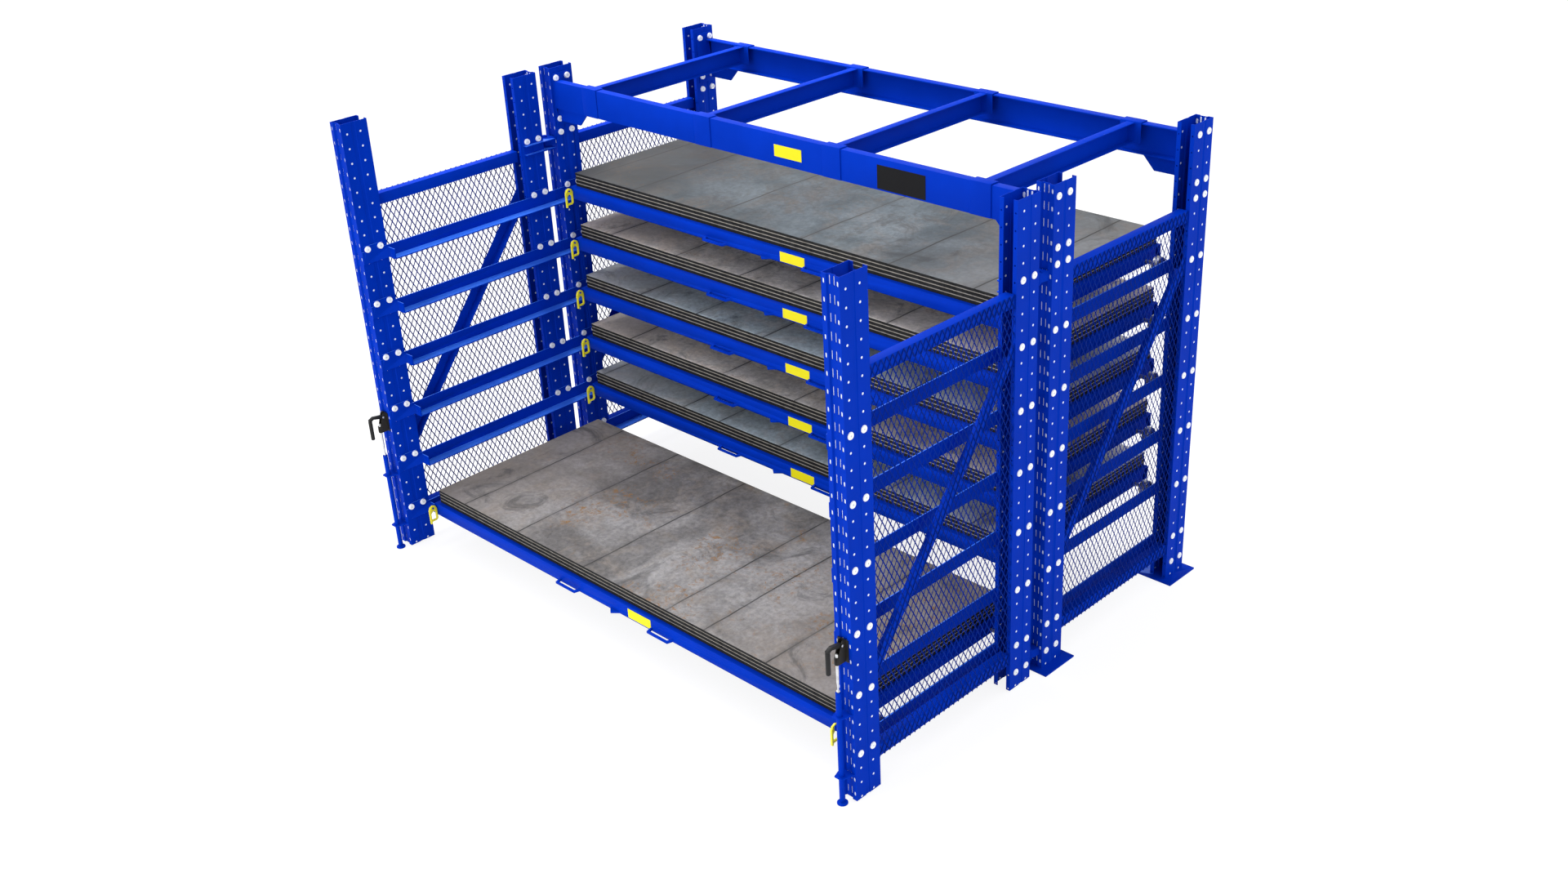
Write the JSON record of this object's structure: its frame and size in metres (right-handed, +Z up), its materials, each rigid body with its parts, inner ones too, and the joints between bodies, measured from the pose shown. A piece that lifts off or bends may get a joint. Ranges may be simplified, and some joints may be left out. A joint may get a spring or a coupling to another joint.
{
  "type": "industrial shelving unit",
  "caption": "Heavy roll-out storage rack for flat sheets: wheeled drawers run on angle rails out onto mesh-sided doors that swing open and lock to the floor.",
  "frame": {"origin": "on the floor, under the middle of the whole part's bounding box at rest", "axes": "+Z up; the front, from which the drawers roll out, faces -Y; +X to the viewer's right"},
  "size_m": [3.593, 2.6944, 2.438],
  "materials": {
    "blue_paint": "semi-gloss powder coat",
    "zinc_plate": "bright zinc plate",
    "sheet_steel": "mill scale, partly weathered",
    "yellow_paint": "gloss",
    "black_coat": "satin"
  },
  "bodies": {
    "rack_frame": {"front_upright_left": "blue_paint", "front_upright_right": "blue_paint", "rear_upright_left": "blue_paint", "rear_upright_right": "blue_paint", "side_panel_left": "blue_paint", "side_panel_right": "blue_paint", "top_beam_front": "blue_paint", "top_beam_rear": "blue_paint", "cross_tie_1": "blue_paint", "cross_tie_2": "blue_paint", "cross_tie_3": "blue_paint", "cross_tie_4": "blue_paint"},
    "door_left": {"door_inner_upright_left": "blue_paint", "door_outer_upright_left": "blue_paint", "door_panel_left": "blue_paint", "clamp_body_left": "black_coat"},
    "clamp_lever_left": {"clamp_lever_left": "black_coat"},
    "floor_bolt_left": {"floor_bolt_left": "blue_paint"},
    "door_right": {"door_inner_upright_right": "blue_paint", "door_outer_upright_right": "blue_paint", "door_panel_right": "blue_paint", "clamp_body_right": "black_coat"},
    "clamp_lever_right": {"clamp_lever_right": "black_coat"},
    "floor_bolt_right": {"floor_bolt_right": "blue_paint"},
    "drawer_1": {"drawer_frame_1": "blue_paint", "sheet_stack_1": "sheet_steel"},
    "latch_left_1": {"latch_left_1": "yellow_paint"},
    "latch_right_1": {"latch_right_1": "yellow_paint"},
    "axle_front_1": {"axle_front_1": "zinc_plate"},
    "axle_rear_1": {"axle_rear_1": "zinc_plate"},
    "drawer_2": {"drawer_frame_2": "blue_paint", "sheet_stack_2": "sheet_steel"},
    "latch_left_2": {"latch_left_2": "yellow_paint"},
    "latch_right_2": {"latch_right_2": "yellow_paint"},
    "axle_front_2": {"axle_front_2": "zinc_plate"},
    "axle_rear_2": {"axle_rear_2": "zinc_plate"},
    "drawer_3": {"drawer_frame_3": "blue_paint", "sheet_stack_3": "sheet_steel"},
    "latch_left_3": {"latch_left_3": "yellow_paint"},
    "latch_right_3": {"latch_right_3": "yellow_paint"},
    "axle_front_3": {"axle_front_3": "zinc_plate"},
    "axle_rear_3": {"axle_rear_3": "zinc_plate"},
    "drawer_4": {"drawer_frame_4": "blue_paint", "sheet_stack_4": "sheet_steel"},
    "latch_left_4": {"latch_left_4": "yellow_paint"},
    "latch_right_4": {"latch_right_4": "yellow_paint"},
    "axle_front_4": {"axle_front_4": "zinc_plate"},
    "axle_rear_4": {"axle_rear_4": "zinc_plate"},
    "drawer_5": {"drawer_frame_5": "blue_paint", "sheet_stack_5": "sheet_steel"},
    "latch_left_5": {"latch_left_5": "yellow_paint"},
    "latch_right_5": {"latch_right_5": "yellow_paint"},
    "axle_front_5": {"axle_front_5": "zinc_plate"},
    "axle_rear_5": {"axle_rear_5": "zinc_plate"},
    "drawer_6": {"drawer_frame_6": "blue_paint", "sheet_stack_6": "sheet_steel"},
    "latch_left_6": {"latch_left_6": "yellow_paint"},
    "latch_right_6": {"latch_right_6": "yellow_paint"},
    "axle_front_6": {"axle_front_6": "zinc_plate"},
    "axle_rear_6": {"axle_rear_6": "zinc_plate"}
  },
  "joints": [
    {"name": "door_left_hinge", "type": "hinge", "parent": "rack_frame", "child": "door_left", "pos_m": [-1.6965, 0.03525, 0.1], "axis": [0, 0, -1], "range_deg": [0, 90]},
    {"name": "clamp_lever_left_hinge", "type": "hinge", "parent": "door_left", "child": "clamp_lever_left", "pos_m": [-1.6965, -1.26025, 0.812], "axis": [-1, 0, 0], "range_deg": [0, 90]},
    {"name": "floor_bolt_left_slide", "type": "slide", "parent": "door_left", "child": "floor_bolt_left", "axis": [0, 0, 1], "range_m": [0, 0.035]},
    {"name": "door_right_hinge", "type": "hinge", "parent": "rack_frame", "child": "door_right", "pos_m": [1.6965, 0.03525, 0.1], "axis": [0, 0, 1], "range_deg": [0, 90]},
    {"name": "clamp_lever_right_hinge", "type": "hinge", "parent": "door_right", "child": "clamp_lever_right", "pos_m": [1.6965, -1.26025, 0.812], "axis": [-1, 0, 0], "range_deg": [0, 90]},
    {"name": "floor_bolt_right_slide", "type": "slide", "parent": "door_right", "child": "floor_bolt_right", "axis": [0, 0, 1], "range_m": [0, 0.035]},
    {"name": "drawer_1_slide", "type": "slide", "parent": "rack_frame", "child": "drawer_1", "axis": [0, -1, 0], "range_m": [0, 1.177]},
    {"name": "latch_left_1_hinge", "type": "hinge", "parent": "drawer_1", "child": "latch_left_1", "pos_m": [-1.531, 0.03525, 1.7741], "axis": [-1, 0, 0], "range_deg": [0, 90]},
    {"name": "latch_right_1_hinge", "type": "hinge", "parent": "drawer_1", "child": "latch_right_1", "pos_m": [1.531, 0.03525, 1.7741], "axis": [-1, 0, 0], "range_deg": [0, 90]},
    {"name": "axle_front_1_spin", "type": "hinge", "parent": "drawer_1", "child": "axle_front_1", "pos_m": [0, 0.20875, 1.7404], "axis": [1, 0, 0], "continuous": true},
    {"name": "axle_rear_1_spin", "type": "hinge", "parent": "drawer_1", "child": "axle_rear_1", "pos_m": [0, 1.11975, 1.7404], "axis": [1, 0, 0], "continuous": true},
    {"name": "drawer_2_slide", "type": "slide", "parent": "rack_frame", "child": "drawer_2", "axis": [0, -1, 0], "range_m": [0, 1.177]},
    {"name": "latch_left_2_hinge", "type": "hinge", "parent": "drawer_2", "child": "latch_left_2", "pos_m": [-1.531, 0.03525, 1.4693], "axis": [-1, 0, 0], "range_deg": [0, 90]},
    {"name": "latch_right_2_hinge", "type": "hinge", "parent": "drawer_2", "child": "latch_right_2", "pos_m": [1.531, 0.03525, 1.4693], "axis": [-1, 0, 0], "range_deg": [0, 90]},
    {"name": "axle_front_2_spin", "type": "hinge", "parent": "drawer_2", "child": "axle_front_2", "pos_m": [0, 0.20875, 1.4356], "axis": [1, 0, 0], "continuous": true},
    {"name": "axle_rear_2_spin", "type": "hinge", "parent": "drawer_2", "child": "axle_rear_2", "pos_m": [0, 1.11975, 1.4356], "axis": [1, 0, 0], "continuous": true},
    {"name": "drawer_3_slide", "type": "slide", "parent": "rack_frame", "child": "drawer_3", "axis": [0, -1, 0], "range_m": [0, 1.177]},
    {"name": "latch_left_3_hinge", "type": "hinge", "parent": "drawer_3", "child": "latch_left_3", "pos_m": [-1.531, 0.03525, 1.1645], "axis": [-1, 0, 0], "range_deg": [0, 90]},
    {"name": "latch_right_3_hinge", "type": "hinge", "parent": "drawer_3", "child": "latch_right_3", "pos_m": [1.531, 0.03525, 1.1645], "axis": [-1, 0, 0], "range_deg": [0, 90]},
    {"name": "axle_front_3_spin", "type": "hinge", "parent": "drawer_3", "child": "axle_front_3", "pos_m": [0, 0.20875, 1.1308], "axis": [1, 0, 0], "continuous": true},
    {"name": "axle_rear_3_spin", "type": "hinge", "parent": "drawer_3", "child": "axle_rear_3", "pos_m": [0, 1.11975, 1.1308], "axis": [1, 0, 0], "continuous": true},
    {"name": "drawer_4_slide", "type": "slide", "parent": "rack_frame", "child": "drawer_4", "axis": [0, -1, 0], "range_m": [0, 1.177]},
    {"name": "latch_left_4_hinge", "type": "hinge", "parent": "drawer_4", "child": "latch_left_4", "pos_m": [-1.531, 0.03525, 0.8597], "axis": [-1, 0, 0], "range_deg": [0, 90]},
    {"name": "latch_right_4_hinge", "type": "hinge", "parent": "drawer_4", "child": "latch_right_4", "pos_m": [1.531, 0.03525, 0.8597], "axis": [-1, 0, 0], "range_deg": [0, 90]},
    {"name": "axle_front_4_spin", "type": "hinge", "parent": "drawer_4", "child": "axle_front_4", "pos_m": [0, 0.20875, 0.826], "axis": [1, 0, 0], "continuous": true},
    {"name": "axle_rear_4_spin", "type": "hinge", "parent": "drawer_4", "child": "axle_rear_4", "pos_m": [0, 1.11975, 0.826], "axis": [1, 0, 0], "continuous": true},
    {"name": "drawer_5_slide", "type": "slide", "parent": "rack_frame", "child": "drawer_5", "axis": [0, -1, 0], "range_m": [0, 1.177]},
    {"name": "latch_left_5_hinge", "type": "hinge", "parent": "drawer_5", "child": "latch_left_5", "pos_m": [-1.531, 0.03525, 0.5549], "axis": [-1, 0, 0], "range_deg": [0, 90]},
    {"name": "latch_right_5_hinge", "type": "hinge", "parent": "drawer_5", "child": "latch_right_5", "pos_m": [1.531, 0.03525, 0.5549], "axis": [-1, 0, 0], "range_deg": [0, 90]},
    {"name": "axle_front_5_spin", "type": "hinge", "parent": "drawer_5", "child": "axle_front_5", "pos_m": [0, 0.20875, 0.5212], "axis": [1, 0, 0], "continuous": true},
    {"name": "axle_rear_5_spin", "type": "hinge", "parent": "drawer_5", "child": "axle_rear_5", "pos_m": [0, 1.11975, 0.5212], "axis": [1, 0, 0], "continuous": true},
    {"name": "drawer_6_slide", "type": "slide", "parent": "rack_frame", "child": "drawer_6", "axis": [0, -1, 0], "range_m": [-1.177, 0]},
    {"name": "latch_left_6_hinge", "type": "hinge", "parent": "drawer_6", "child": "latch_left_6", "pos_m": [-1.531, -1.14175, 0.2501], "axis": [-1, 0, 0], "range_deg": [0, 90]},
    {"name": "latch_right_6_hinge", "type": "hinge", "parent": "drawer_6", "child": "latch_right_6", "pos_m": [1.531, -1.14175, 0.2501], "axis": [-1, 0, 0], "range_deg": [0, 90]},
    {"name": "axle_front_6_spin", "type": "hinge", "parent": "drawer_6", "child": "axle_front_6", "pos_m": [0, -0.96825, 0.2164], "axis": [1, 0, 0], "continuous": true},
    {"name": "axle_rear_6_spin", "type": "hinge", "parent": "drawer_6", "child": "axle_rear_6", "pos_m": [0, -0.05725, 0.2164], "axis": [1, 0, 0], "continuous": true}
  ],
  "couplings": [
    {"joint": "floor_bolt_left_slide", "follows": "clamp_lever_left_hinge", "m_per_rad": 0.0222},
    {"joint": "floor_bolt_right_slide", "follows": "clamp_lever_right_hinge", "m_per_rad": 0.0222},
    {"joint": "axle_front_1_spin", "follows": "drawer_1_slide", "rad_per_m": 25},
    {"joint": "axle_rear_1_spin", "follows": "drawer_1_slide", "rad_per_m": 25},
    {"joint": "axle_front_2_spin", "follows": "drawer_2_slide", "rad_per_m": 25},
    {"joint": "axle_rear_2_spin", "follows": "drawer_2_slide", "rad_per_m": 25},
    {"joint": "axle_front_3_spin", "follows": "drawer_3_slide", "rad_per_m": 25},
    {"joint": "axle_rear_3_spin", "follows": "drawer_3_slide", "rad_per_m": 25},
    {"joint": "axle_front_4_spin", "follows": "drawer_4_slide", "rad_per_m": 25},
    {"joint": "axle_rear_4_spin", "follows": "drawer_4_slide", "rad_per_m": 25},
    {"joint": "axle_front_5_spin", "follows": "drawer_5_slide", "rad_per_m": 25},
    {"joint": "axle_rear_5_spin", "follows": "drawer_5_slide", "rad_per_m": 25},
    {"joint": "axle_front_6_spin", "follows": "drawer_6_slide", "rad_per_m": 25},
    {"joint": "axle_rear_6_spin", "follows": "drawer_6_slide", "rad_per_m": 25}
  ]
}
